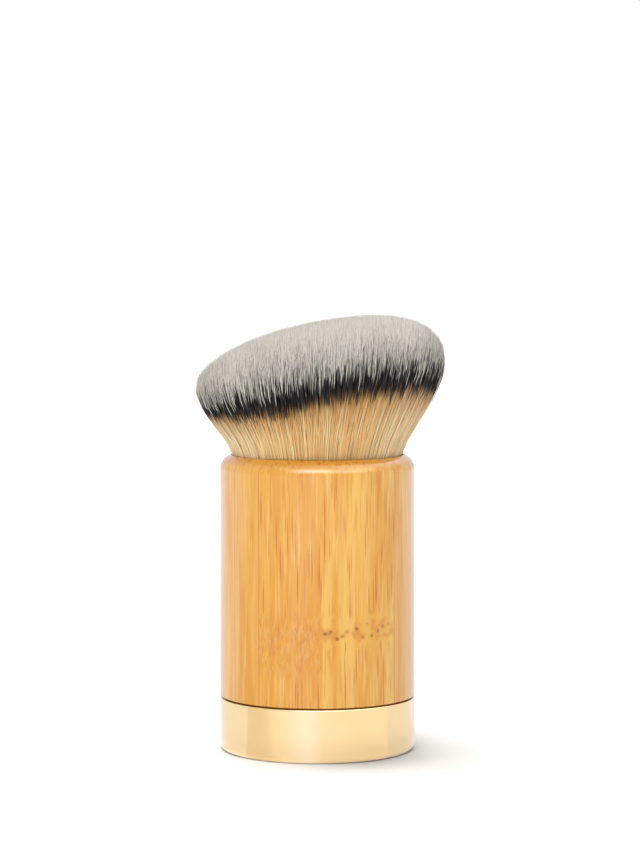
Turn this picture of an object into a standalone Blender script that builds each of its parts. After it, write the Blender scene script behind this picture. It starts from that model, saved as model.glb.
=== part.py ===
"""An angled powder brush: a short turned bamboo handle in a metal base cap, with a dense slanted tuft.

The origin is the centre of the flat foot, +Z runs up the handle's axis, and the tuft slants down
towards -X and up towards +X. Lengths are in metres.
"""

from math import acos, cos, degrees, hypot, pi, radians, sin, sqrt
from random import Random

import bmesh
import bpy
from mathutils import Vector

# Fits between glued pieces
FIT_GAP = 0.0003
GLUE_FILM = 0.0003

# Bamboo handle
HANDLE_DIAMETER = 0.035
MOUTH_HEIGHT = 0.0531
MOUTH_WALL = 0.0021
LIP_ROUND = 0.0027
SOCKET_DEPTH = 0.0175
SPIGOT_CHAMFER = 0.0008

# Metal base cap
CAP_HEIGHT = 0.0095
CAP_WALL = 0.0006
CAP_FLOOR = 0.0008
CAP_FOOT_ROUND = 0.0012
CAP_RIM_ROUND = 0.00015
CAP_GLUE_SKIRT = 0.004

# Metal ferrule cup in the handle's socket
FERRULE_LIP = 0.0008
FERRULE_WALL = 0.0005
FERRULE_FOOT_ROUND = 0.0009
FERRULE_GLUE_SKIRT = 0.006

# Knot of filament in the ferrule, tied where it leaves the resin
ROOT_RECESS = 0.0054
THREAD_DIAMETER = 0.0004
THREAD_TURNS = 4

# Head of the tuft: flares are past the mouth's edge, rises are above the mouth
LOW_SIDE_FLARE = 0.0066
HIGH_SIDE_FLARE = 0.0075
FACE_FLARE = 0.0041
PEAK_REACH = 0.011
PEAK_RISE = 0.0249
RIM_LOW_RISE = 0.0127
RIM_HIGH_RISE = 0.0173
RIM_FACE_BULGE = 0.0018
RIM_FACE_TILT = 0.0025
DOME_FULLNESS = 2.0
DOME_SKEW = 0.3
FLARE_START_POWER = 1.4
FLARE_END_POWER = 2

# Strands of filament, in rings of triangular cells round the knot's centre
STRAND_RINGS = 8
SECTORS = 5
MOUTH_CLEARANCE = 0.0002
PALE_TIP = 0.0034
DARK_BAND = 0.0034
TIP_ROUND = 0.0013
TIP_SCATTER = 0.0005
SCATTER_SEED = 11
gap_share = 0.09
tip_taper_share = 0.38
cell_scatter_share = 0.14

# Facets
OUTER_STEPS = 72
INNER_STEPS = 48
LIP_STEPS = 8
FOOT_STEPS = 5
RIM_STEPS = 2
BEAD_STEPS = 3
SMOOTH_ANGLE = radians(35)

# Sizes that follow from those above
handle_radius = HANDLE_DIAMETER / 2
mouth_radius = handle_radius - MOUTH_WALL
film_space = FIT_GAP + GLUE_FILM + FIT_GAP
cap_bore = handle_radius - CAP_WALL
spigot_radius = cap_bore - film_space
spigot_foot = CAP_FLOOR + film_space
shoulder_height = CAP_HEIGHT + FIT_GAP
socket_floor = MOUTH_HEIGHT - SOCKET_DEPTH
ferrule_radius = mouth_radius - film_space
ferrule_bore = ferrule_radius - FERRULE_WALL
ferrule_foot = socket_floor + film_space
ferrule_floor = ferrule_foot + FERRULE_WALL
root_height = MOUTH_HEIGHT - ROOT_RECESS
ferrule_rim = root_height + FERRULE_LIP
slice_foot = root_height - THREAD_TURNS * THREAD_DIAMETER
resin_foot = ferrule_floor + FIT_GAP
resin_top = slice_foot - FIT_GAP
thread_bore = ferrule_bore - FIT_GAP - THREAD_DIAMETER
knot_radius = thread_bore - FIT_GAP
tuft_mouth_radius = mouth_radius - MOUTH_CLEARANCE
low_side_reach = mouth_radius + LOW_SIDE_FLARE
high_side_reach = mouth_radius + HIGH_SIDE_FLARE
face_reach = mouth_radius + FACE_FLARE

BAMBOO = ("bamboo", (0.80, 0.43, 0.12), 0.35, 0.0)
GOLD = ("gold_anodised", (0.93, 0.70, 0.38), 0.28, 1.0)
ALUMINIUM = ("aluminium", (0.80, 0.81, 0.83), 0.35, 1.0)
CLEAR_GLUE = ("clear_glue", (0.78, 0.74, 0.62), 0.30, 0.0)
RESIN = ("resin", (0.62, 0.50, 0.30), 0.30, 0.0)
THREAD = ("thread", (0.85, 0.82, 0.74), 0.85, 0.0)
TAN_FILAMENT = ("filament_tan", (0.72, 0.50, 0.25), 0.55, 0.0)
DARK_FILAMENT = ("filament_dark", (0.02, 0.018, 0.017), 0.50, 0.0)
PALE_FILAMENT = ("filament_pale", (0.66, 0.63, 0.58), 0.60, 0.0)


def clear_scene():
    for leftover in list(bpy.data.objects):
        bpy.data.objects.remove(leftover)


def principled(name, colour, roughness, metallic):
    material = bpy.data.materials.new(name)
    material.use_nodes = True
    shader = material.node_tree.nodes["Principled BSDF"]
    shader.inputs["Base Color"].default_value = (*colour, 1.0)
    shader.inputs["Roughness"].default_value = roughness
    shader.inputs["Metallic"].default_value = metallic
    material.diffuse_color = (*colour, 1.0)
    return material


def finished(name, bm, *finishes):
    """Makes a smooth-shaded object of the mesh, with one material for each finish."""
    mesh = bpy.data.meshes.new(name)
    bm.to_mesh(mesh)
    bm.free()
    for finish in finishes:
        mesh.materials.append(principled(*finish))
    mesh.shade_smooth()
    mesh.set_sharp_from_angle(angle=SMOOTH_ANGLE)
    piece = bpy.data.objects.new(name, mesh)
    bpy.context.scene.collection.objects.link(piece)
    return piece


def arc(centre_radius, centre_height, size, start, end, steps):
    """Points of a round on a turned profile, from one angle in degrees to another."""
    turns = [radians(start + (end - start) * step / steps) for step in range(steps + 1)]
    return [(centre_radius + size * cos(turn), centre_height + size * sin(turn)) for turn in turns]


def turned(name, profile, steps, finish):
    """Spins a closed profile of (radius, height) points round the axis."""
    bm = bmesh.new()
    outline = [bm.verts.new((radius, 0, height)) for radius, height in profile]
    edges = [bm.edges.new(pair) for pair in zip(outline, outline[1:])]
    if profile[0][0] or profile[-1][0]:
        edges.append(bm.edges.new((outline[-1], outline[0])))
    up = Vector((0, 0, 1))
    section = outline + edges
    bmesh.ops.spin(bm, geom=section, cent=Vector(), axis=up, angle=2 * pi, steps=steps, use_merge=True)
    bmesh.ops.remove_doubles(bm, verts=bm.verts, dist=FIT_GAP / steps)
    bmesh.ops.recalc_face_normals(bm, faces=bm.faces)
    return finished(name, bm, finish)


def glue_cup(name, outer_radius, foot, skirt):
    """The film between a round end and the cup that it stands in: a thin floor with a short skirt."""
    inner_radius = outer_radius - GLUE_FILM
    floor = foot + GLUE_FILM
    profile = [
        (0, foot),
        (outer_radius, foot),
        (outer_radius, foot + skirt),
        (inner_radius, foot + skirt),
        (inner_radius, floor),
        (0, floor),
    ]
    return turned(name, profile, INNER_STEPS, CLEAR_GLUE)


def bamboo_handle():
    """The turned body: a spigot below, a round-over at the mouth and a deep round socket."""
    lip_run = min(MOUTH_WALL, LIP_ROUND)
    lip_end = degrees(acos(1 - lip_run / LIP_ROUND))
    lip_drop = LIP_ROUND * sin(radians(lip_end))
    profile = [
        (0, spigot_foot),
        (spigot_radius - SPIGOT_CHAMFER, spigot_foot),
        (spigot_radius, spigot_foot + SPIGOT_CHAMFER),
        (spigot_radius, shoulder_height),
        (handle_radius, shoulder_height),
        *arc(handle_radius - LIP_ROUND, MOUTH_HEIGHT - lip_drop, LIP_ROUND, 0, lip_end, LIP_STEPS),
        (mouth_radius, MOUTH_HEIGHT),
        (mouth_radius, socket_floor),
        (0, socket_floor),
    ]
    return turned("bamboo_handle", profile, OUTER_STEPS, BAMBOO)


def base_cap():
    """The drawn metal cup round the foot of the handle, flat below with a rounded corner."""
    corner = handle_radius - CAP_FOOT_ROUND
    rim = handle_radius - CAP_RIM_ROUND
    inner_corner = CAP_FOOT_ROUND - CAP_WALL
    inner_rim = cap_bore + CAP_RIM_ROUND
    profile = [
        (0, 0),
        *arc(corner, CAP_FOOT_ROUND, CAP_FOOT_ROUND, -90, 0, FOOT_STEPS),
        *arc(rim, CAP_HEIGHT - CAP_RIM_ROUND, CAP_RIM_ROUND, 0, 90, RIM_STEPS),
        *arc(inner_rim, CAP_HEIGHT - CAP_RIM_ROUND, CAP_RIM_ROUND, 90, 180, RIM_STEPS),
        (cap_bore, CAP_FLOOR + inner_corner),
        (cap_bore - inner_corner, CAP_FLOOR),
        (0, CAP_FLOOR),
    ]
    return turned("base_cap", profile, OUTER_STEPS, GOLD)


def ferrule_cup():
    """The thin metal cup that the tuft is set in, with a rounded foot and a folded-over rim."""
    corner = ferrule_radius - FERRULE_FOOT_ROUND
    inner_corner = FERRULE_FOOT_ROUND - FERRULE_WALL
    rim_round = FERRULE_WALL / 2
    rim_centre = ferrule_bore + rim_round
    profile = [
        (0, ferrule_foot),
        *arc(corner, ferrule_foot + FERRULE_FOOT_ROUND, FERRULE_FOOT_ROUND, -90, 0, RIM_STEPS),
        *arc(rim_centre, ferrule_rim - rim_round, rim_round, 0, 180, 2 * RIM_STEPS),
        (ferrule_bore, ferrule_floor + inner_corner),
        (ferrule_bore - inner_corner, ferrule_floor),
        (0, ferrule_floor),
    ]
    return turned("ferrule_cup", profile, INNER_STEPS, ALUMINIUM)


def resin_plug():
    """The cast resin under the roots, rounded below to clear the ferrule's inner corner."""
    radius = ferrule_bore - FIT_GAP
    corner = FERRULE_FOOT_ROUND - FERRULE_WALL
    profile = [
        (0, resin_foot),
        (radius - corner, resin_foot),
        (radius, resin_foot + corner),
        (radius, resin_top),
        (0, resin_top),
    ]
    return turned("resin_plug", profile, INNER_STEPS, RESIN)


def binding_thread():
    """The thread laid side by side round the knot, a ring with one bead for each turn."""
    bead = THREAD_DIAMETER / 2
    outside = []
    for turn in range(THREAD_TURNS):
        middle = slice_foot + bead + turn * THREAD_DIAMETER
        outside += arc(thread_bore + bead, middle, bead, -90, 90, BEAD_STEPS)[turn > 0 :]
    profile = [(thread_bore, slice_foot), *outside, (thread_bore, root_height)]
    return turned("binding_thread", profile, INNER_STEPS, THREAD)


def dome_rise(across, along):
    """Rise of the head above the mouth, at a place in the unit disc that the knot fills.

    The dome falls from its peak to the slanted rim along superellipse arcs, one for each direction.
    """
    peak = PEAK_REACH / high_side_reach
    run = hypot(across - peak, along)
    if not run:
        return PEAK_RISE
    toward_x = (across - peak) / run
    toward_y = along / run
    rim_run = sqrt((peak * toward_x) ** 2 + 1 - peak**2) - peak * toward_x
    rim_x = peak + rim_run * toward_x
    face_share = (rim_run * toward_y) ** 2
    rim_rise = (
        (RIM_HIGH_RISE + RIM_LOW_RISE) / 2
        + (RIM_HIGH_RISE - RIM_LOW_RISE) / 2 * rim_x
        + (RIM_FACE_BULGE + RIM_FACE_TILT * rim_x) * face_share
    )
    fullness = DOME_FULLNESS + DOME_SKEW * rim_x
    fall_share = 1 - (1 - min(run / rim_run, 1) ** fullness) ** (1 / fullness)
    return PEAK_RISE - (PEAK_RISE - rim_rise) * fall_share


def filament_point(across, along, below_tip):
    """Where a filament is, this far below its tip, on its way from the mouth of the handle to the head."""
    rise = dome_rise(across, along)
    height_share = max(1 - below_tip / rise, 0)
    flare_share = 1 - (1 - height_share**FLARE_START_POWER) ** FLARE_END_POWER
    reach = high_side_reach if across > 0 else low_side_reach
    width = tuft_mouth_radius + (reach - tuft_mouth_radius) * flare_share
    depth = tuft_mouth_radius + (face_reach - tuft_mouth_radius) * flare_share
    return Vector((width * across, depth * along, MOUTH_HEIGHT + rise * height_share))


def knot_rings(bm, chance):
    """Rings of points over the root slice, each with one more point a sector than the ring inside it."""
    spacing = knot_radius / STRAND_RINGS
    rings = [[bm.verts.new((0, 0, root_height))]]
    for ring in range(1, STRAND_RINGS + 1):
        slip = cell_scatter_share * spacing if ring < STRAND_RINGS else 0
        corners = []
        for place in range(SECTORS * ring):
            turn = 2 * pi * place / (SECTORS * ring)
            x = spacing * ring * cos(turn) + chance.uniform(-slip, slip)
            y = spacing * ring * sin(turn) + chance.uniform(-slip, slip)
            corners.append(bm.verts.new((x, y, root_height)))
        rings.append(corners)
    return rings


def knot_cells(bm, rings):
    """Triangular cells between the rings, one for each strand."""
    cells = []
    for ring, (inner, outer) in enumerate(zip(rings, rings[1:])):
        for sector in range(SECTORS):
            for place in range(ring + 1):
                near = inner[(sector * ring + place) % len(inner)]
                far = outer[sector * (ring + 1) + place]
                far_next = outer[(sector * (ring + 1) + place + 1) % len(outer)]
                cells.append(bm.faces.new((near, far, far_next)))
                if place < ring:
                    near_next = inner[(sector * ring + place + 1) % len(inner)]
                    cells.append(bm.faces.new((near, far_next, near_next)))
    return cells


def grow_strand(bm, cell, scatter):
    """Raises one cell into a strand: up through the mouth, out with the flare, and in to a round point.

    The strand is drawn in from its neighbours' sides above its root, where they all meet.
    """
    roots = [(corner.co.x / knot_radius, corner.co.y / knot_radius) for corner in cell.verts]
    middle = [sum(values) / len(roots) for values in zip(*roots)]
    stations = (
        (PEAK_RISE, gap_share, 0),
        (PALE_TIP + DARK_BAND, gap_share, 0),
        (PALE_TIP, gap_share, 1),
        (TIP_ROUND, tip_taper_share, 2),
    )
    for below_tip, drawn_in_share, finish in stations:
        heart = filament_point(*middle, below_tip + scatter)
        grown = bmesh.ops.extrude_discrete_faces(bm, faces=[cell])["faces"][0]
        for corner, root in zip(grown.verts, roots):
            corner.co = filament_point(*root, below_tip + scatter).lerp(heart, drawn_in_share)
        for edge in grown.edges:
            for side in edge.link_faces:
                side.material_index = finish
        cell = grown
    point = bmesh.ops.poke(bm, faces=[cell])
    point["verts"][0].co = filament_point(*middle, scatter)


def bristle_tuft():
    """All the strands of filament, standing on the slice of resin that holds their roots."""
    bm = bmesh.new()
    chance = Random(SCATTER_SEED)
    cells = knot_cells(bm, knot_rings(bm, chance))
    rim = [edge for edge in bm.edges if edge.is_boundary]
    walls = bmesh.ops.extrude_edge_only(bm, edges=rim)["geom"]
    foot = [part for part in walls if isinstance(part, bmesh.types.BMVert)]
    for corner in foot:
        corner.co.z = slice_foot
    bmesh.ops.contextual_create(bm, geom=[edge for edge in bm.edges if edge.is_boundary])
    bmesh.ops.recalc_face_normals(bm, faces=bm.faces)
    for cell in cells:
        grow_strand(bm, cell, chance.uniform(0, TIP_SCATTER))
    return finished("bristle_tuft", bm, TAN_FILAMENT, DARK_FILAMENT, PALE_FILAMENT)


clear_scene()
base_cap()
glue_cup("base_adhesive", cap_bore - FIT_GAP, CAP_FLOOR + FIT_GAP, CAP_GLUE_SKIRT)
bamboo_handle()
glue_cup("ferrule_adhesive", mouth_radius - FIT_GAP, socket_floor + FIT_GAP, FERRULE_GLUE_SKIRT)
ferrule_cup()
resin_plug()
binding_thread()
bristle_tuft()
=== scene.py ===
from math import acos, cos, pi, radians, sin

import bmesh
import bpy
import numpy as np
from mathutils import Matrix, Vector
from mathutils.kdtree import KDTree


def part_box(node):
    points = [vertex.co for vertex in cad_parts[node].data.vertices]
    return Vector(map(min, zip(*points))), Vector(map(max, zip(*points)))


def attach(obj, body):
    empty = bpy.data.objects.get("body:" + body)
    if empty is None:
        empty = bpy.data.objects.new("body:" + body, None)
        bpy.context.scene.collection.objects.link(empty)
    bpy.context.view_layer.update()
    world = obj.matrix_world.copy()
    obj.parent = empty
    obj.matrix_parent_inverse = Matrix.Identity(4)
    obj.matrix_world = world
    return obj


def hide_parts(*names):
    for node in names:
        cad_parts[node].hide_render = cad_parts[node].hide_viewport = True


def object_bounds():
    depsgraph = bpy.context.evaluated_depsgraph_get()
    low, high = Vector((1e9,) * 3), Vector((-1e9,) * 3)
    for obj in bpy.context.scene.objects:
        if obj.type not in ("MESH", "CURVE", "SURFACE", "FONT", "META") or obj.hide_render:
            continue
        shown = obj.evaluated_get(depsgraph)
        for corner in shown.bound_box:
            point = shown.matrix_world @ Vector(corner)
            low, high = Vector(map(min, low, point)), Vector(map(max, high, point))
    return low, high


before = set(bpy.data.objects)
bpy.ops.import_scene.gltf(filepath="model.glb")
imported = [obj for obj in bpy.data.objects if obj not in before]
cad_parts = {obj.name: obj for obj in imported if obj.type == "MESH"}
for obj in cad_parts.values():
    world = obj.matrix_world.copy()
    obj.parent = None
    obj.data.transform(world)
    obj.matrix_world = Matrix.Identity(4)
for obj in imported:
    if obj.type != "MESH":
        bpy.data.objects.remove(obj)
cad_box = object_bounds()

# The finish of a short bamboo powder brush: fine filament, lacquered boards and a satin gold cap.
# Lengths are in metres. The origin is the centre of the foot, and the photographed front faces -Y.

MM = 0.001
FIT_GAP = 0.3 * MM

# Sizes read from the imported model
cap_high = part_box("base_cap")[1]
handle_low, handle_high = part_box("bamboo_handle")
handle_radius = cap_high.x
cap_height = cap_high.z
shoulder_height = cap_height + FIT_GAP
mouth_height = handle_high.z
spigot_foot = handle_low.z

# Handle and cap, as the construction has them
MOUTH_WALL = 2.1 * MM
LIP_ROUND = 2.7 * MM
MOUTH_EASE = 0.12 * MM
SOCKET_DEPTH = 17.5 * MM
SPIGOT_CHAMFER = 0.8 * MM
SHOULDER_EASE = 0.12 * MM
CAP_WALL = 0.6 * MM
CAP_FLOOR = 0.8 * MM
CAP_FOOT_ROUND = 1.2 * MM
CAP_RIM_ROUND = 0.15 * MM
GLUE_SPACE = 0.9 * MM
OVERRUN = 2 * MM
SAME_PLACE = 0.01 * MM
TURNED_STEPS = 192
ROUND_STEPS = 12
EASE_STEPS = 3
SMOOTH_ANGLE = radians(32)
mouth_radius = handle_radius - MOUTH_WALL
cap_bore = handle_radius - CAP_WALL
spigot_radius = cap_bore - GLUE_SPACE

# Head of the tuft, as the construction has it
MOUTH_CLEARANCE = 0.2 * MM
LOW_SIDE_FLARE = 6.6 * MM
HIGH_SIDE_FLARE = 7.5 * MM
FACE_FLARE = 4.1 * MM
PEAK_REACH = 11 * MM
PEAK_RISE = 24.9 * MM
RIM_LOW_RISE = 12.7 * MM
RIM_HIGH_RISE = 17.3 * MM
RIM_FACE_BULGE = 1.8 * MM
RIM_FACE_TILT = 2.5 * MM
DOME_FULLNESS = 2.0
DOME_SKEW = 0.3
FLARE_START_POWER = 1.4
FLARE_END_POWER = 2
ROOT_RECESS = 5.4 * MM
KNOT_RADIUS = 13.0 * MM
tuft_radius = mouth_radius - MOUTH_CLEARANCE
low_reach = mouth_radius + LOW_SIDE_FLARE
high_reach = mouth_radius + HIGH_SIDE_FLARE
face_reach = mouth_radius + FACE_FLARE

# Filaments
BUNDLES = 10
FILAMENTS_A_BUNDLE = 4600
FILAMENT_RADIUS = 0.065 * MM
FILAMENT_THICKNESS_SPREAD = (0.8, 1.2)
FILAMENT_SEED = 7
GOLDEN_ANGLE = pi * (3 - 5**0.5)
TIP_LIFT = 0.45 * MM
TIP_SCATTER = 0.8 * MM
TIP_WANDER = 0.24 * MM
FOOT_TWIST = 0.035
CLUMPS = 5200
CLUMP_PULL_SHARE = 0.13
FILAMENT_WAVE = 0.035 * MM
TAN_END_DROP = 8.0 * MM
TAN_END_DROP_AT_LOW_END = 5.9 * MM
TAN_END_DROP_AT_HIGH_END = 7.0 * MM
PALE_DROP = 3.5 * MM
PALE_DROP_AT_LOW_END = 4.3 * MM
STATION_WIDTH_SHARES = (1, 1, 1, 1, 1, 0.85, 0.5, 0)
STATION_DYE_SHARES = (0, 0.175, 0.35, 0.525, 0.7, 0.85, 0.925, 1)
FIRST_ROUND_STATION = 5
TIP_FOLLOWS_DOME = 0.8
FACING_STEP = 0.01
INNER_START = 0.5
INNER_END = 0.84
INNER_THICKNESS = 1.4

# Dye of the filaments, with lots of painted light. Its starts are shares of the way from the root,
# at 0, to the tip, at 1
DYE_COLUMNS = 160
# Lots of painted light: the lots below INNER_LOT paint the tan paler towards the tuft's sides, and
# INNER_LOT paints the pale further down inside.
PAINTED_LIGHT_LOTS = 5
INNER_LOT = 4
COLUMN_SIDES = (0.2, 0.8)
BROWN_LENGTH = 0.36
DARK_START = 0.7
DARK_START_SPREAD = 0.08
DARK_BEFORE = 0.06
DARK_AFTER = 0.03
PALE_START = 0.874
PALE_START_SPREAD = 0.21
# How much lower the pale starts inside the tuft: painted light in its shaded depths.
PALE_START_INNER = 0.15
PALE_BLEND = 0.02
EVEN_TIP = (0.88, 0.98)
dye_map = "OFBake"

# Boards and strips of the bamboo, in millimetres
BOARD_TURN = radians(-7.4)
BOARD = 5.0
FRONT_GLUE_LINE = 12.7
STRIP = 21.0
FRONT_SEAM = -1.3
STRIP_STAGGER = 6.3
BOARD_NUMBER = 13
STRIP_NUMBER = 5
GLUE_LINE = 0.07
NODE_HEIGHTS = (20.8, 23.3)
HIDDEN_NODE_START = 12
HIDDEN_NODE_SPREAD = 150
NODE_RAGGEDNESS = 4
SCAR_REACH = 6.2
SCAR_SWAY = 0.8
FIBRE_SWAY = 0.1
DOT_REACH = 2.0
PORE = (1.1, 1.0)
SHIFT_ACROSS = 60
SHIFT_ALONG = 300
SPARSE_REACH = (12, 32)
END_GRAIN_START = (mouth_height - LIP_ROUND) / MM + 1.0
END_GRAIN_END = mouth_height / MM - 0.6


def tint(red, green, blue):
    """A colour as it shows on a screen, from 0 to 255, in the linear values that nodes take."""
    levels = [level / 255 for level in (red, green, blue)]
    return (*(x / 12.92 if x <= 0.04045 else ((x + 0.055) / 1.055) ** 2.4 for x in levels), 1.0)


class Value:
    """A value in a finish's nodes. An expression on it adds Math nodes."""

    def __init__(self, finish, socket):
        self.finish = finish
        self.socket = socket

    def math(self, operation, *others):
        values = dict(enumerate((self, *others)))
        return self.finish.node("ShaderNodeMath", {"operation": operation}, values)

    def __add__(self, other):
        return self.math("ADD", other)

    def __sub__(self, other):
        return self.math("SUBTRACT", other)

    def __mul__(self, other):
        return self.math("MULTIPLY", other)

    def __truediv__(self, other):
        return self.math("DIVIDE", other)

    def __gt__(self, other):
        return self.math("GREATER_THAN", other)

    def __lt__(self, other):
        return self.math("LESS_THAN", other)

    def __abs__(self):
        return self.math("ABSOLUTE")

    def __neg__(self):
        return self.math("MULTIPLY", -1)

    def __rsub__(self, other):
        return -self + other

    __radd__ = __add__
    __rmul__ = __mul__

    def floor(self):
        return self.math("FLOOR")

    def ease(self, start, end):
        """0 before start and 1 after end, with a smooth step between them."""
        settings = {"interpolation_type": "SMOOTHSTEP"}
        return self.finish.node("ShaderNodeMapRange", settings, {0: self, 1: start, 2: end})


class Finish:
    """A material, and the nodes that vary it over a surface."""

    def __init__(self, name, **constants):
        self.material = bpy.data.materials.new(name)
        self.material.use_nodes = True
        self.tree = self.material.node_tree
        self.shader = self.tree.nodes["Principled BSDF"]
        for constant, value in constants.items():
            socket = constant.replace("_", " ").title().replace("Ior", "IOR")
            self.shader.inputs[socket].default_value = value

    def node(self, kind, settings=(), sockets=(), out=0):
        """Adds a node: its settings come first, then the values or links of its sockets."""
        made = self.tree.nodes.new(kind)
        for setting, value in dict(settings).items():
            setattr(made, setting, value)
        for socket, value in dict(sockets).items():
            self.feed(made.inputs[socket], value)
        return Value(self, made.outputs[out])

    def feed(self, socket, value):
        if isinstance(value, Value):
            self.tree.links.new(value.socket, socket)
        else:
            socket.default_value = value

    def place(self, turn=0.0):
        """Across, depth and height of a point on the piece, in millimetres."""
        place = self.node("ShaderNodeTexCoord", out="Object")
        sockets = {"Vector": place, "Rotation": (0, 0, turn), "Scale": [1 / MM] * 3}
        turned = self.node("ShaderNodeMapping", (), sockets)
        split = self.node("ShaderNodeSeparateXYZ", (), {0: turned})
        return [Value(self, socket) for socket in split.socket.node.outputs]

    def vector(self, x, y, z):
        return self.node("ShaderNodeCombineXYZ", (), {0: x, 1: y, 2: z})

    def noise(self, place, detail=2, roughness=0.5):
        sockets = {"Vector": place, "Scale": 1, "Detail": detail, "Roughness": roughness}
        return self.node("ShaderNodeTexNoise", (), sockets)

    def cells(self, place, out="Distance"):
        return self.node("ShaderNodeTexVoronoi", (), {"Vector": place, "Scale": 1}, out)

    def chances(self, number):
        """Three even random values for each whole number."""
        settings = {"noise_dimensions": "1D"}
        colour = self.node("ShaderNodeTexWhiteNoise", settings, {"W": number}, "Color")
        split = self.node("ShaderNodeSeparateColor", (), {0: colour})
        return [Value(self, socket) for socket in split.socket.node.outputs]

    def mix(self, share, first, second, blend="MIX"):
        settings = {"data_type": "RGBA", "blend_type": blend}
        return self.node("ShaderNodeMix", settings, {0: share, 6: first, 7: second}, 2)

    def bump(self, height, depth):
        sockets = {"Height": height, "Distance": depth, "Strength": 1.0}
        return self.node("ShaderNodeBump", (), sockets)

    def show(self, **sockets):
        """Feeds what varies to the shader and returns the material."""
        for socket, value in sockets.items():
            self.feed(self.shader.inputs[socket.replace("_", " ")], value)
        return self.material


# Mesh work, as by hand


def begin(add, name, **size):
    """Adds a primitive alone in the selection, with its place in its mesh, ready in edit mode."""
    bpy.ops.object.select_all(action="DESELECT")
    add(**size)
    piece = bpy.context.object
    piece.name = piece.data.name = name
    bpy.ops.object.transform_apply(location=True, rotation=True, scale=True)
    bpy.ops.object.mode_set(mode="EDIT")
    return piece


def rod(name, radius, low, high):
    """A round blank between two heights."""
    size = {"vertices": TURNED_STEPS, "radius": radius, "depth": high - low}
    middle = (0, 0, (low + high) / 2)
    return begin(bpy.ops.mesh.primitive_cylinder_add, name, location=middle, **size)


def pick(piece, kind, wanted):
    """Selects the faces or the edges for which the test holds."""
    bpy.ops.mesh.select_mode(type=kind)
    bpy.ops.mesh.select_all(action="DESELECT")
    bm = bmesh.from_edit_mesh(piece.data)
    for part in bm.faces if kind == "FACE" else bm.edges:
        part.select_set(wanted(part))
    bm.select_flush_mode()
    bmesh.update_edit_mesh(piece.data)


def pick_end(piece, height):
    """Selects the flat end at a height."""

    def is_end(face):
        return near(face.calc_center_median().z, height) and abs(face.normal.z) > 0.9

    pick(piece, "FACE", is_end)


def pick_ring(piece, radius, height):
    """Selects the round edge of a radius at a height."""

    def is_on_ring(edge):
        return all(near(v.co.z, height) and near(v.co.xy.length, radius) for v in edge.verts)

    pick(piece, "EDGE", is_on_ring)


def near(value, wanted):
    return abs(value - wanted) < SAME_PLACE


def step_in(thickness, travel):
    """Insets the selected end and moves the new face along the axis."""
    bpy.ops.mesh.inset(thickness=thickness)
    bpy.ops.mesh.extrude_region_move(TRANSFORM_OT_translate={"value": (0, 0, travel)})


def round_ring(piece, radius, height, size, steps):
    """Rounds the edge of a radius at a height."""
    pick_ring(piece, radius, height)
    bpy.ops.mesh.bevel(offset=size, segments=steps, profile=0.5, clamp_overlap=False)


def finished(piece, finish, slot, *nodes):
    """Shades a piece, gives it its finish and lets it stand for its CAD nodes."""
    bpy.ops.object.mode_set(mode="OBJECT")
    bpy.ops.object.shade_smooth_by_angle(angle=SMOOTH_ANGLE)
    even = piece.modifiers.new("even_shading", "WEIGHTED_NORMAL")
    even.keep_sharp = True
    bpy.ops.object.modifier_apply(modifier=even.name)
    piece.data.materials.append(finish)
    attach(piece, "root")
    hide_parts(*nodes)


def bamboo_body(finish):
    """The turned handle: a spigot for the cap, a shoulder, and a round lip that the socket cuts."""
    lip_end = acos(1 - MOUTH_WALL / LIP_ROUND)
    blank_top = mouth_height + LIP_ROUND * (1 - sin(lip_end))
    body = rod("bamboo_body", handle_radius, shoulder_height, blank_top)
    pick_end(body, shoulder_height)
    step_in(handle_radius - spigot_radius, spigot_foot - shoulder_height)
    round_ring(body, spigot_radius, spigot_foot, SPIGOT_CHAMFER, 1)
    round_ring(body, handle_radius, shoulder_height, SHOULDER_EASE, EASE_STEPS)
    round_ring(body, handle_radius, blank_top, LIP_ROUND, ROUND_STEPS)
    bpy.ops.object.mode_set(mode="OBJECT")

    bore = rod("socket_bore", mouth_radius, mouth_height - SOCKET_DEPTH, mouth_height + OVERRUN)
    bpy.ops.object.mode_set(mode="OBJECT")
    bpy.ops.object.select_all(action="DESELECT")
    bpy.context.view_layer.objects.active = body
    body.select_set(True)
    cut = body.modifiers.new("socket", "BOOLEAN")
    cut.operation = "DIFFERENCE"
    cut.object = bore
    bpy.ops.object.modifier_apply(modifier=cut.name)
    bpy.data.objects.remove(bore)

    bpy.ops.object.mode_set(mode="EDIT")
    round_ring(body, mouth_radius, mouth_height, MOUTH_EASE, EASE_STEPS)
    finished(body, finish, "bamboo", "bamboo_handle")


def gold_cap(finish):
    """The drawn cup round the foot, with a rounded corner below and a thin rim above."""
    cap = rod("gold_cap", handle_radius, 0, cap_height)
    pick_end(cap, cap_height)
    step_in(CAP_WALL, CAP_FLOOR - cap_height)
    round_ring(cap, cap_bore, CAP_FLOOR, CAP_FOOT_ROUND - CAP_WALL, EASE_STEPS)
    round_ring(cap, cap_bore, cap_height, CAP_RIM_ROUND, EASE_STEPS)
    round_ring(cap, handle_radius, cap_height, CAP_RIM_ROUND, EASE_STEPS)
    round_ring(cap, handle_radius, 0, CAP_FOOT_ROUND, ROUND_STEPS)
    finished(cap, finish, "gold_cap", "base_cap")


# The tuft


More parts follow.
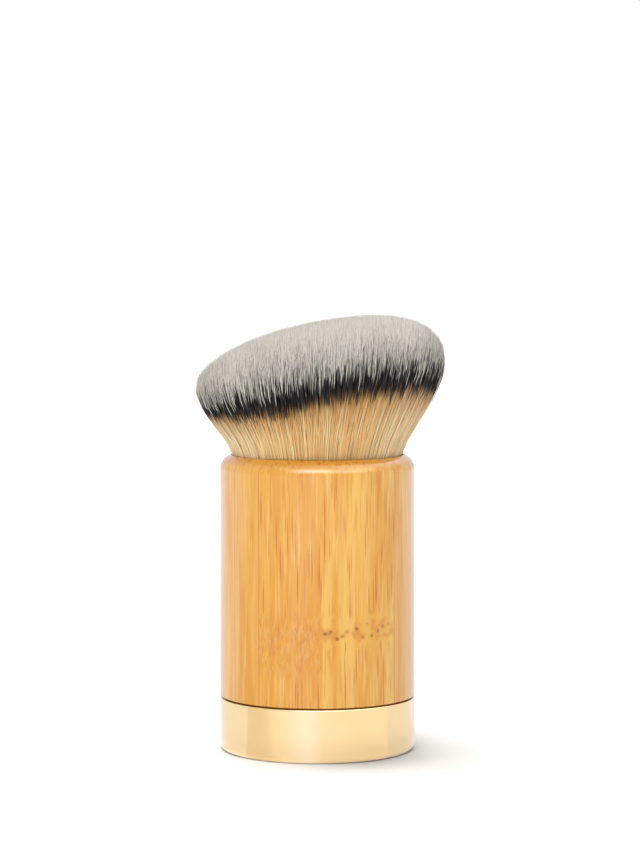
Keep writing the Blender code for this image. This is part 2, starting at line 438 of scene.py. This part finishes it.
def filament_blank():
    """Points and faces of one filament: a rod of three sides, a unit tall for each station."""
    end = {"vertices": 3, "radius": 1, "fill_type": "NGON"}
    blank = begin(bpy.ops.mesh.primitive_circle_add, "filament_blank", **end)
    for share, last_share in zip(STATION_WIDTH_SHARES[1:-1], STATION_WIDTH_SHARES):
        bpy.ops.mesh.extrude_region_move(TRANSFORM_OT_translate={"value": (0, 0, 1)})
        taper = share / last_share
        bpy.ops.transform.resize(value=(taper, taper, 1), center_override=(0, 0, 0))
    bpy.ops.mesh.extrude_region_move(TRANSFORM_OT_translate={"value": (0, 0, 1)})
    bpy.ops.mesh.merge(type="CENTER")
    bpy.ops.mesh.select_all(action="SELECT")
    bpy.ops.mesh.normals_make_consistent(inside=False)
    bpy.ops.object.mode_set(mode="OBJECT")
    points = np.array([corner.co for corner in blank.data.vertices])
    faces = [list(face.vertices) for face in blank.data.polygons]
    bpy.data.objects.remove(blank)
    return points, faces


def dome_rise(across, along):
    """Rise of the head above the mouth, at places in the unit disc that the knot fills."""
    peak = PEAK_REACH / high_reach
    run = np.maximum(np.hypot(across - peak, along), 1e-9)
    toward_x = (across - peak) / run
    toward_y = along / run
    rim_run = np.sqrt((peak * toward_x) ** 2 + 1 - peak**2) - peak * toward_x
    rim_x = peak + rim_run * toward_x
    face_share = (rim_run * toward_y) ** 2
    rim_rise = (
        (RIM_HIGH_RISE + RIM_LOW_RISE) / 2
        + (RIM_HIGH_RISE - RIM_LOW_RISE) / 2 * rim_x
        + (RIM_FACE_BULGE + RIM_FACE_TILT * rim_x) * face_share
    )
    fullness = DOME_FULLNESS + DOME_SKEW * rim_x
    fall_share = 1 - (1 - np.minimum(run / rim_run, 1) ** fullness) ** (1 / fullness)
    return PEAK_RISE - (PEAK_RISE - rim_rise) * fall_share


def dome_facing(across, along):
    """The way that the head's surface faces at places in the unit disc."""
    step = FACING_STEP
    inside = 1 - 2 * step
    across = across * inside
    along = along * inside
    reach = np.where(across > 0, high_reach, low_reach)
    climb_x = dome_rise(across + step, along) - dome_rise(across - step, along)
    climb_y = dome_rise(across, along + step) - dome_rise(across, along - step)
    slope_x = climb_x / (2 * step * reach)
    slope_y = climb_y / (2 * step * face_reach)
    facing = np.stack((-slope_x, -slope_y, np.ones(len(across))), axis=1)
    return facing / np.linalg.norm(facing, axis=1, keepdims=True)


def filament_line(across, along, rise, height):
    """Where filaments are at a height above the mouth, on their way from the knot to the head."""
    share = np.clip(height / rise, 0, 1)
    flare = 1 - (1 - share**FLARE_START_POWER) ** FLARE_END_POWER
    reach = np.where(across > 0, high_reach, low_reach)
    below = np.clip(-height / ROOT_RECESS, 0, 1)
    foot = tuft_radius + (KNOT_RADIUS - tuft_radius) * below
    width = foot + (reach - tuft_radius) * flare
    depth = foot + (face_reach - tuft_radius) * flare
    return width * across, depth * along, share


def knot_places(chance):
    """Even places over the unit disc, each a little off its own spot."""
    count = BUNDLES * FILAMENTS_A_BUNDLE
    number = np.arange(count) + 0.5
    radius = np.sqrt(number / count)
    turn = number * GOLDEN_ANGLE
    spacing = 1 / count**0.5
    across = radius * np.cos(turn) + chance.normal(0, spacing, count)
    along = radius * np.sin(turn) + chance.normal(0, spacing, count)
    over = np.maximum(np.hypot(across, along), 1)
    return across / over, along / over


def drawn_together(across, along, chance):
    """How far each filament's tip is from the middle of the clump that it leans to."""
    radius = np.sqrt(chance.uniform(0, 1, CLUMPS))
    turn = chance.uniform(0, 2 * pi, CLUMPS)
    middles = np.stack((radius * np.cos(turn), radius * np.sin(turn)), axis=1)
    tree = KDTree(CLUMPS)
    for number, (x, y) in enumerate(middles):
        tree.insert((x, y, 0), number)
    tree.balance()
    nearest = [tree.find((x, y, 0))[1] for x, y in zip(across, along)]
    return middles[nearest, 0] - across, middles[nearest, 1] - along


def filament_bundles(finish):
    """All the filaments of the tuft, in wedges round the axis."""
    chance = np.random.default_rng(FILAMENT_SEED)
    points, faces = filament_blank()
    across, along = knot_places(chance)
    count = len(across)
    pull_x, pull_y = drawn_together(across, along, chance)
    rise = dome_rise(across, along) + TIP_LIFT - chance.uniform(0, TIP_SCATTER, count)
    wander_x, wander_y = chance.laplace(0, TIP_WANDER, (2, count))
    outward = np.maximum(wander_x * across + wander_y * along, 0)
    wander_x = wander_x - outward * across
    wander_y = wander_y - outward * along
    twist = chance.normal(0, FOOT_TWIST, count)
    inner = np.hypot(across, along) < chance.uniform(INNER_START, INNER_END, count)
    thickness = FILAMENT_RADIUS * chance.uniform(*FILAMENT_THICKNESS_SPREAD, count)
    thickness = thickness * np.where(inner, INNER_THICKNESS, 1)
    turn = chance.uniform(0, 2 * pi, count)
    # Painted light: filaments further towards the tuft's left and right ends take lots whose tan is
    # painted paler, for the light that falls on the sides.
    painted_side_light = np.clip(np.abs(across) * 2 - 1, 0, 0.99)
    painted_light_lot = np.floor(painted_side_light * (INNER_LOT - 1) + chance.uniform(0, 1, count))
    # Inner filaments take the inner lot, whose pale is painted further down: painted light in the
    # tuft's depths.
    painted_light_lot = np.where(inner, INNER_LOT, painted_light_lot)
    lot_columns = DYE_COLUMNS // PAINTED_LIGHT_LOTS
    column = painted_light_lot * lot_columns + chance.integers(0, lot_columns, count)
    drop_at_end = np.where(across > 0, TAN_END_DROP_AT_HIGH_END, TAN_END_DROP_AT_LOW_END)
    tan_end = rise - TAN_END_DROP + (TAN_END_DROP - drop_at_end) * across**2
    root = np.full(count, -ROOT_RECESS)
    tan_heights = [tan_end * share for share in (1 / 4, 1 / 2, 3 / 4, 1)]
    pale_drop = PALE_DROP + (PALE_DROP_AT_LOW_END - PALE_DROP) * np.minimum(across, 0) ** 2
    pale_heights = [rise - pale_drop * share for share in (1, 1 / 2, 0)]
    heights = np.stack([root, *tan_heights, *pale_heights], axis=1)

    station = np.rint(points[:, 2]).astype(int)
    height = heights[:, station]
    x, y, share = filament_line(across[:, None], along[:, None], rise[:, None], height)
    spin = (1 - share) * twist[:, None]
    x, y = x * np.cos(spin) - y * np.sin(spin), x * np.sin(spin) + y * np.cos(spin)
    lean = share**2
    clump = share**4
    wave_x, wave_y = chance.normal(0, FILAMENT_WAVE, (2, count, len(STATION_WIDTH_SHARES)))
    x = x + lean * wander_x[:, None] + clump * (pull_x * high_reach * CLUMP_PULL_SHARE)[:, None]
    y = y + lean * wander_y[:, None] + clump * (pull_y * face_reach * CLUMP_PULL_SHARE)[:, None]
    x = x + wave_x[:, station]
    y = y + wave_y[:, station]
    side_x = points[:, 0] * np.cos(turn)[:, None] - points[:, 1] * np.sin(turn)[:, None]
    side_y = points[:, 0] * np.sin(turn)[:, None] + points[:, 1] * np.cos(turn)[:, None]
    x = x + side_x * thickness[:, None]
    y = y + side_y * thickness[:, None]
    places = np.stack((x, y, mouth_height + height), axis=2)
    side = np.stack((side_x, side_y, np.zeros_like(side_x)), axis=2)
    side = side / np.maximum(np.linalg.norm(side, axis=2, keepdims=True), 1e-9)
    dome = dome_facing(across, along)[:, None]
    facing = side * (1 - TIP_FOLLOWS_DOME) + dome * TIP_FOLLOWS_DOME
    facing = facing * (station >= FIRST_ROUND_STATION)[:, None]

    wedge = np.argsort(np.arctan2(along, across), kind="stable").reshape(BUNDLES, -1)
    for number, members in enumerate(wedge, 1):
        shape = (places[members], facing[members], column[members])
        bundle(f"filament_bundle_{number}", *shape, station, faces, finish)


def bundle(name, places, facing, column, station, faces, finish):
    """One mesh of many filaments, with a map whose columns are lots of dye and painted light and
    whose rows run up them.

    Its tips face as the head does, and zero leaves each other corner to its flat face.
    """
    count, corners = places.shape[:2]
    sizes = [len(face) for face in faces]
    tips = [min(station[face]) >= FIRST_ROUND_STATION for face in faces]
    face_corners = np.array([corner for face in faces for corner in face])
    side = np.array([place for size in sizes for place in np.linspace(*COLUMN_SIDES, size)])
    starts = np.cumsum([0, *sizes[:-1]])
    mesh = bpy.data.meshes.new(name)
    mesh.vertices.add(count * corners)
    mesh.vertices.foreach_set("co", places.astype(np.float32).ravel())
    strand = np.arange(count)[:, None]
    loop_corners = strand * corners + face_corners
    mesh.loops.add(count * len(face_corners))
    mesh.loops.foreach_set("vertex_index", loop_corners.astype(np.int32).ravel())
    loop_starts = strand * len(face_corners) + starts
    mesh.polygons.add(count * len(faces))
    mesh.polygons.foreach_set("loop_start", loop_starts.astype(np.int32).ravel())
    mesh.update(calc_edges=True)
    dyes = np.array(STATION_DYE_SHARES)[station[face_corners]]
    columns = (column[:, None] + side) / DYE_COLUMNS
    rows = np.broadcast_to(dyes, columns.shape)
    layer = mesh.uv_layers.new(name=dye_map)
    dye_places = np.stack((columns, rows), axis=2)
    layer.data.foreach_set("uv", dye_places.astype(np.float32).ravel())
    mesh.polygons.foreach_set("use_smooth", np.tile(tips, count))
    tip_corner = np.repeat(tips, sizes)[:, None]
    mesh.normals_split_custom_set((facing[:, face_corners] * tip_corner).reshape(-1, 3))
    mesh.materials.append(finish)
    piece = bpy.data.objects.new(name, mesh)
    bpy.context.scene.collection.objects.link(piece)
    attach(piece, "root")
    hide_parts("bristle_tuft")


# Finishes


def filament_dye():
    """Tan filament, dyed near black above and left pale at the tip, each one its own way, with
    painted light: a paler tan on the tuft's sides and the pale reaching further down inside.
    """
    finish = Finish("dyed_filament", roughness=0.45, specular_ior_level=0.4)
    where = finish.node("ShaderNodeUVMap", {"uv_map": dye_map})
    split = finish.node("ShaderNodeSeparateXYZ", (), {0: where})
    column, row = [Value(finish, socket) for socket in split.socket.node.outputs[:2]]
    low, high, shade = finish.chances((column * DYE_COLUMNS).floor())
    painted_light_lot = (column * PAINTED_LIGHT_LOTS).floor()
    inner = painted_light_lot > INNER_LOT - 0.5
    dark_start = DARK_START + (low - 0.5) * DARK_START_SPREAD
    # The inner lot's pale starts lower: painted light in the tuft's depths.
    pale_start = PALE_START + (high - 0.5) * PALE_START_SPREAD - inner * PALE_START_INNER
    brown = row.ease(dark_start - BROWN_LENGTH, dark_start)
    dark = row.ease(dark_start - DARK_BEFORE, dark_start + DARK_AFTER)
    pale = row.ease(pale_start - PALE_BLEND, pale_start + PALE_BLEND)
    tan = finish.mix(shade, tint(255, 238, 184), tint(251, 199, 121))
    # Painted light: the tan is painted paler on the tuft's sides.
    painted_side_light = painted_light_lot / (INNER_LOT - 1) * (1 - inner)
    tan = finish.mix(painted_side_light * 0.85, tan, tint(255, 238, 206))
    tan = finish.mix(brown * 0.55, tan, tint(200, 138, 64))
    black = finish.mix(shade, tint(30, 18, 7), tint(8, 5, 2))
    even = row.ease(*EVEN_TIP)
    tip = finish.mix(shade, tint(255, 250, 239), tint(136, 128, 117))
    tip = finish.mix(even * 0.5, tip, tint(219, 211, 198))
    return finish.show(Base_Color=finish.mix(pale, finish.mix(dark, tan, black), tip))


def lacquered_bamboo():
    """Boards of bamboo strips glued in a block, under clear lacquer. Sizes are in millimetres."""
    lacquer = {"coat_weight": 1.0, "coat_roughness": 0.16, "specular_ior_level": 0.2}
    finish = Finish("lacquered_bamboo", **lacquer)
    across, depth, height = finish.place(BOARD_TURN)
    board_place = (depth + FRONT_GLUE_LINE) / BOARD
    board = board_place.floor()
    strip = ((across - FRONT_SEAM + (board + 1) * STRIP_STAGGER) / STRIP).floor()
    tone, shift, spot = finish.chances(board * BOARD_NUMBER + strip * STRIP_NUMBER)

    front = board < -0.5
    right = strip > -0.5
    left_node, right_node = NODE_HEIGHTS
    front_node = right * (right_node - left_node) + left_node
    hidden_node = spot * HIDDEN_NODE_SPREAD + HIDDEN_NODE_START
    node = front * front_node + (1 - front) * hidden_node
    ragged = finish.noise(finish.vector(across * 0.9, depth * 0.9, height * 0.3)) - 0.5
    away = abs(height - node + ragged * NODE_RAGGEDNESS)
    dotted = front * right + (1 - front) * (tone > 0.5)
    scar = (1 - away.ease(SCAR_REACH * 0.6, SCAR_REACH)) * (1 - dotted)
    stain = (1 - away.ease(DOT_REACH * 0.5, DOT_REACH)) * dotted
    calm = 1 - scar - (1 - away.ease(DOT_REACH, DOT_REACH * 1.5)) * dotted
    marked = (1 - away.ease(DOT_REACH * 3, DOT_REACH * 6)) * dotted

    sway = finish.noise(finish.vector(across * 0.7, depth * 0.7, height * 0.4)) - 0.5
    across = across + sway * (scar * SCAR_SWAY + FIBRE_SWAY)
    moved_across = across + shift * SHIFT_ACROSS
    grown = finish.vector(moved_across, depth + tone * SHIFT_ACROSS, height + spot * SHIFT_ALONG)

    def stretched(width, length):
        """Places for a pattern of that width and length."""
        shares = (1 / width, 1 / width, 1 / length)
        squeeze = {"operation": "MULTIPLY"}
        return finish.node("ShaderNodeVectorMath", squeeze, {0: grown, 1: shares})

    def streaks(width, length, start, end):
        """Soft streaks, none where the noise is below start and full where it is above end."""
        return finish.noise(stretched(width, length), detail=1).ease(start, end)

    def spindles(width, length, start, end):
        """Separate pointed marks, full out to start from each middle and gone at end."""
        where = stretched(width, length)
        chance = finish.node("ShaderNodeSeparateColor", (), {0: finish.cells(where, "Color")})
        return (1 - finish.cells(where).ease(start, end)) * chance.ease(0.2, 0.7)

    wood = finish.mix(streaks(3.2, 45, 0.4, 0.6), tint(231, 160, 28), tint(248, 200, 92))
    wood = finish.mix(streaks(1.5, 22, 0.42, 0.6) * 0.6, wood, tint(246, 196, 102))
    wood = finish.mix(streaks(0.7, 16, 0.48, 0.64) * 0.3, wood, tint(224, 144, 34))
    wood = finish.mix((1 - right) * front * 0.5, wood, tint(227, 150, 18))
    wood = finish.mix((1 - front) * 0.3, wood, tint(226, 146, 24))
    wood = finish.mix(tone * 0.3, wood, tint(236, 166, 58))
    face = front * 0.65 + 0.35
    top = height.ease(END_GRAIN_START, END_GRAIN_END)
    calm = calm * (1 - top)
    wood = finish.mix(streaks(0.32, 8, 0.58, 0.65) * calm * face * 0.4, wood, tint(216, 130, 24))
    sparse = 1 - away.ease(*SPARSE_REACH) * 0.5
    fibre = spindles(0.4, 11, 0.2, 0.4) * calm * face * sparse
    wood = finish.mix(fibre * 0.85, wood, tint(200, 108, 8))
    bare = streaks(2.5, 30, 0.42, 0.58) * 0.7
    fine_fibre = spindles(0.3, 8, 0.18, 0.36) * calm * face * (1 - bare)
    wood = finish.mix(fine_fibre * 0.75, wood, tint(206, 120, 18))
    wood = finish.mix(spindles(0.9, 9, 0.12, 0.3) * calm * marked * 0.9, wood, tint(206, 120, 16))
    wood = finish.mix(streaks(0.36, 12, 0.6, 0.68) * calm * 0.5, wood, tint(250, 206, 124))

    patches = finish.noise(stretched(1.5, 5), detail=4, roughness=0.6)
    wood = finish.mix(patches.ease(0.42, 0.6) * scar * 0.6, wood, tint(226, 146, 48))
    wood = finish.mix(streaks(0.36, 2.2, 0.54, 0.64) * scar * 0.45, wood, tint(240, 188, 112))
    wood = finish.mix(streaks(0.3, 1.8, 0.54, 0.64) * scar * 0.5, wood, tint(204, 124, 34))
    pore_middle = finish.cells(stretched(*PORE), "Position")
    pore_height = finish.node("ShaderNodeSeparateXYZ", (), {0: pore_middle}, 2) * PORE[1]
    pore_height = pore_height - spot * SHIFT_ALONG
    pores = spindles(*PORE, 0.16, 0.48) * (abs(pore_height - node) < DOT_REACH * 0.7) * dotted
    wood = finish.mix(streaks(1.6, 2.4, 0.5, 0.66) * stain * 0.6, wood, tint(216, 134, 30))
    wood = finish.mix(pores * 0.85, wood, tint(158, 82, 6))

    glue = abs(board_place - board - 0.5) * BOARD
    glue_line = glue.ease(BOARD / 2 - GLUE_LINE * 2, BOARD / 2 - GLUE_LINE / 2)
    wood = finish.mix(glue_line * 0.6, wood, tint(206, 128, 42))

    ends = finish.cells(stretched(0.75, 40)).ease(0.1, 0.5)
    end_grain = finish.mix(ends, tint(196, 110, 10), tint(229, 157, 46))
    wood = finish.mix(top * 0.85, wood, end_grain)
    bump = finish.bump(1 - fibre, 0.01 * MM)
    return finish.show(Base_Color=wood, Roughness=0.42 + fibre * 0.1, Normal=bump)


def satin_gold():
    """Gold anodised over a turned surface, with faint lines round the axis."""
    finish = Finish("satin_gold", metallic=1.0, coat_weight=0.2, coat_roughness=0.06)
    across, depth, height = finish.place()
    turned = finish.noise(finish.vector(across * 0.05, depth * 0.05, height * 14), detail=3)
    cloud = finish.noise(finish.vector(across * 0.2, depth * 0.2, height * 0.2))
    gold = finish.mix(cloud.ease(0.3, 0.7), tint(244, 210, 152), tint(247, 213, 157))
    rough = 0.07 + turned * 0.03 + cloud * 0.02
    return finish.show(Base_Color=gold, Roughness=rough)


def drawn_aluminium():
    """Bare drawn aluminium, with lines along the draw."""
    finish = Finish("drawn_aluminium", metallic=1.0)
    across, depth, height = finish.place()
    drawn = finish.noise(finish.vector(across * 3, depth * 3, height * 0.08), detail=3)
    colour = finish.mix(drawn, tint(228, 229, 232), tint(206, 208, 212))
    bump = finish.bump(drawn, 0.01 * MM)
    return finish.show(Base_Color=colour, Roughness=0.3 + drawn * 0.15, Normal=bump)


def cast_resin(name, light, dark, roughness):
    """Resin or glue with faint clouds in it."""
    finish = Finish(name)
    across, depth, height = finish.place()
    cloud = finish.noise(finish.vector(across * 0.6, depth * 0.6, height * 0.6), detail=3)
    colour = finish.mix(cloud.ease(0.3, 0.7), light, dark)
    return finish.show(Base_Color=colour, Roughness=roughness + cloud * 0.1)


def waxed_thread():
    """Cream thread with the slant of its twist."""
    finish = Finish("waxed_thread", roughness=0.8)
    across, depth, height = finish.place()
    turn = depth.math("ARCTAN2", across)
    twist = (turn * 120 + height * 9).math("SINE")
    colour = finish.mix(twist * 0.5 + 0.5, tint(238, 233, 221), tint(206, 198, 180))
    return finish.show(Base_Color=colour, Normal=finish.bump(twist, 0.03 * MM))


def dress(node, material):
    """Gives a CAD node its finish."""
    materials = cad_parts[node].data.materials
    materials.clear()
    materials.append(material)


# Studio. A pair starts and ends a smooth step, over a length or over a direction's x, y or z

FLOOR_SIZE = 12.0
FLOOR_DROP = -0.01 * MM
FLOOR_LOSS = 0.15
SEEN_GAIN = 1.34
FAR = (100 * MM, 600 * MM)
FAR_GLOW = 0.8
FAR_REFLECTED = 0.4
NEAR_REFLECTED = 0.25
REFLECTED_CENTRE = -11.8 * MM
# Painted glow: near the foot the floor glows for reflections only, lifting the cap's lower part and
# its bottom edge on the left.
FOOT = (18 * MM, 30 * MM)
FOOT_REFLECTED = 0.14
FOOT_EDGE = (16.5 * MM, 19 * MM)
FOOT_EDGE_LEFT = (-0.6, 0.4)
FOOT_EDGE_REFLECTED = 0.35
# Painted shadow: the floor's paint darkens near the brush by ambient occlusion, most in front on the
# right.
CONTACT_REACH = 9 * MM
CONTACT_RIGHT = (-0.3, 0.6)
CONTACT_FRONT = (0.1, -1.1)
CONTACT_SHADE = 0.85

SHADE_LIGHT = 0.2
SHADE_LOW = (0.05, 0.5)
SHADE_LIGHT_LOW = 0.74
SHADE_LIGHT_LOW_SIDES = 0.35
SHADE_HIGH = (0.4, 0.9)
SHADE_LIGHT_HIGH = 0.5
SHADE_LIGHT_HIGH_LEFT = 0.45
SHADE_MIRRORED = 0.1
CEILING_HEIGHT = (0.3, 0.8)
CEILING_RIGHT = (-0.3, 0.4)
CEILING_LIFT = 2.5
WINDOW_HEIGHT = 0.47
WINDOW_HALF_HEIGHT = (0.08, 0.28)
WINDOW_LEFT_EDGE = (-0.63, -0.28)
WINDOW_RIGHT_EDGE = (0.3, 1.3)
WINDOW_FRONT = (0, -0.4)
WINDOW_LIFT = 4.2

SOFTBOX_DISTANCE = 0.9
FRONT_SOFTBOX = {"azimuth": -6, "elevation": 38, "size": (0.55, 0.36), "brightness": 4.2}
TOP_SOFTBOX = {"azimuth": -145, "elevation": 81, "size": (0.42, 0.42), "brightness": 6.5}

WHITE = (1, 1, 1, 1)
BLACK = (0, 0, 0, 1)
BACKDROP = (0.85, 0.91, 1.03, 1)
BACKDROP_EDGE = (-0.02, 0.02)
LEFT_ROOM = (0.78, 0.77, 0.75, 1)
LEFT_ROOM_EDGE = (-0.98, -0.75)
RIGHT_ROOM = (0.94, 0.97, 1.04, 1)
BRIGHT_ROOM = (0.98, 1.09, 1.42, 1)
BRIGHT_ROOM_LEFT_EDGE = (-0.75, -0.35)
BRIGHT_ROOM_RIGHT_EDGE = (-0.2, 0.2)


def rays(finish):
    """Three kinds of ray: seen or through glass, only mirrored, and mirrored after a matte surface.

    The last kind sees little, so that the white adds no light to what is matte.
    """
    path = finish.node("ShaderNodeLightPath").socket.node.outputs
    kinds = ("Camera", "Glossy", "Transmission")
    camera, mirrored, through = [Value(finish, path[f"Is {kind} Ray"]) for kind in kinds]
    scattered = Value(finish, path["Diffuse Depth"]) > 0.5
    return (camera + through).math("MINIMUM", 1), mirrored * (1 - scattered), mirrored * scattered


def studio_white(finish, x, y):
    """What shines back: a white backdrop behind the brush, and a room that is dimmer on the left."""
    room = finish.mix(x.ease(*LEFT_ROOM_EDGE), LEFT_ROOM, RIGHT_ROOM)
    bright = x.ease(*BRIGHT_ROOM_LEFT_EDGE) * (1 - x.ease(*BRIGHT_ROOM_RIGHT_EDGE))
    room = finish.mix(bright, room, BRIGHT_ROOM)
    return finish.mix(y.ease(*BACKDROP_EDGE), room, BACKDROP)


def contact_shade(finish, x, y):
    """Painted shadow: how much the floor's paint darkens close to the brush, most in front on the
    right.
    """
    open_share = finish.node("ShaderNodeAmbientOcclusion", (), {"Distance": CONTACT_REACH}, "AO")
    return (1 - open_share) * x.ease(*CONTACT_RIGHT) * y.ease(*CONTACT_FRONT) * CONTACT_SHADE


def white_floor():
    """A table top that keeps the brush's shadow and is white in the picture and in reflections, with
    a painted shadow close to the brush and a painted glow near the foot that only reflections see.
    """
    bpy.ops.object.select_all(action="DESELECT")
    bpy.ops.mesh.primitive_plane_add(size=FLOOR_SIZE, location=(0, 0, FLOOR_DROP))
    floor = bpy.context.object
    floor.name = "floor"
    finish = Finish("white_table")
    finish.tree.nodes.remove(finish.shader)
    x, y, _ = finish.place()
    x = x * MM
    y = y * MM
    from_axis = (x * x + y * y).math("SQRT")
    rightward = x / from_axis
    shade = contact_shade(finish, rightward, y / from_axis)
    y = y - REFLECTED_CENTRE
    away = (x * x + y * y).math("SQRT")
    far = away.ease(*FAR)
    seen, mirrored, _ = rays(finish)
    glow = seen * far * FAR_GLOW
    # Painted glow near the foot, seen only in reflections, that lifts the cap's lower part and its
    # left bottom edge.
    foot = (1 - from_axis.ease(*FOOT)) * FOOT_REFLECTED
    foot_edge = (1 - from_axis.ease(*FOOT_EDGE)) * (1 - rightward.ease(*FOOT_EDGE_LEFT))
    foot_edge = foot_edge * FOOT_EDGE_REFLECTED
    reflected = mirrored * (far * FAR_REFLECTED + foot + foot_edge + NEAR_REFLECTED)
    white = finish.mix(mirrored, WHITE, studio_white(finish, x / away, y / away))
    lit = finish.node("ShaderNodeEmission", (), {"Color": white, "Strength": glow + reflected})
    gain = finish.mix(seen, WHITE, (SEEN_GAIN, SEEN_GAIN, SEEN_GAIN, 1))
    paint = finish.mix(1, finish.mix(FLOOR_LOSS, white, BLACK), gain, "MULTIPLY")
    # Painted shadow: for the camera, the floor's paint darkens near the brush.
    paint = finish.mix(seen * shade, paint, BLACK)
    matte = finish.node("ShaderNodeBsdfDiffuse", (), {"Color": paint})
    both = finish.node("ShaderNodeAddShader", (), {0: lit, 1: matte})
    finish.feed(finish.tree.nodes["Material Output"].inputs["Surface"], both)
    floor.data.materials.append(finish.material)


class Surround(Finish):
    """The world's nodes."""

    def __init__(self):
        world = bpy.data.worlds.new("studio")
        bpy.context.scene.world = world
        world.use_nodes = True
        self.tree = world.node_tree


def white_surround():
    """White in the picture, the studio in reflections, and a soft light on what is matte."""
    around = Surround()
    seen, mirrored, mirrored_later = rays(around)
    toward = around.node("ShaderNodeTexCoord", out="Generated")
    split = around.node("ShaderNodeSeparateXYZ", (), {0: toward}).socket.node.outputs
    x, y, z = [Value(around, socket) for socket in split[:3]]
    shown = (seen + mirrored).math("MINIMUM", 1)
    ceiling = mirrored * z.ease(*CEILING_HEIGHT) * x.ease(*CEILING_RIGHT) * CEILING_LIFT
    window_width = x.ease(*WINDOW_LEFT_EDGE) * (1 - x.ease(*WINDOW_RIGHT_EDGE))
    window_height = 1 - abs(z - WINDOW_HEIGHT).ease(*WINDOW_HALF_HEIGHT)
    window = mirrored * window_width * window_height * y.ease(*WINDOW_FRONT)
    ceiling = ceiling + window * WINDOW_LIFT
    low = 1 - z.ease(*SHADE_LOW)
    low = low * (abs(x) * SHADE_LIGHT_LOW_SIDES + SHADE_LIGHT_LOW)
    high = z.ease(*SHADE_HIGH) * (SHADE_LIGHT_HIGH - x * SHADE_LIGHT_HIGH_LEFT)
    shade_light = (low + high + SHADE_LIGHT) * (1 - mirrored_later * (1 - SHADE_MIRRORED))
    strength = shown + ceiling + (1 - shown) * shade_light
    around.feed(around.tree.nodes["Background"].inputs["Strength"], strength)
    white = around.mix(mirrored, WHITE, studio_white(around, x, y))
    around.feed(around.tree.nodes["Background"].inputs["Color"], white)


def softbox(name, azimuth, elevation, size, brightness):
    """A light that faces the brush. Its azimuth is 0 in front of the brush and 90 on the right."""
    lamp = bpy.data.lights.new(name, "AREA")
    lamp.shape = "RECTANGLE"
    lamp.size, lamp.size_y = size
    lamp.energy = brightness * pi * size[0] * size[1]
    light = bpy.data.objects.new(name, lamp)
    bpy.context.scene.collection.objects.link(light)
    turn = radians(azimuth)
    rise = radians(elevation)
    toward = Vector((sin(turn) * cos(rise), -cos(turn) * cos(rise), sin(rise)))
    middle = (cad_box[0] + cad_box[1]) / 2
    light.location = middle + toward * SOFTBOX_DISTANCE
    light.rotation_euler = toward.to_track_quat("Z", "Y").to_euler()


def studio():
    white_floor()
    white_surround()
    softbox("front_softbox", **FRONT_SOFTBOX)
    softbox("top_softbox", **TOP_SOFTBOX)
    bpy.context.scene.view_settings.view_transform = "Standard"


CAMERA_PLACE = (0.46 * MM, -530.61 * MM, 92.56 * MM)
CAMERA_DIP = radians(3.722)
CAMERA_LENS = 125.22
SENSOR_WIDTH = 36
CLIP_START = 10 * MM


def camera():
    """The camera at the photograph's place: half a metre away and a little above."""
    lens = bpy.data.cameras.new("camera")
    lens.lens = CAMERA_LENS
    lens.sensor_width = SENSOR_WIDTH
    lens.clip_start = CLIP_START
    seen_from = bpy.data.objects.new("camera", lens)
    bpy.context.scene.collection.objects.link(seen_from)
    seen_from.location = CAMERA_PLACE
    seen_from.rotation_euler = (pi / 2 - CAMERA_DIP, 0, 0)
    bpy.context.scene.camera = seen_from


camera()
studio()
bamboo_body(lacquered_bamboo())
gold_cap(satin_gold())
filament_bundles(filament_dye())
dress("ferrule_cup", drawn_aluminium())
dress("resin_plug", cast_resin("amber_resin", tint(206, 180, 134), tint(186, 156, 108), 0.25))
clear_glue = cast_resin("clear_glue", tint(226, 220, 202), tint(212, 204, 182), 0.2)
dress("base_adhesive", clear_glue)
dress("ferrule_adhesive", clear_glue)
dress("binding_thread", waxed_thread())
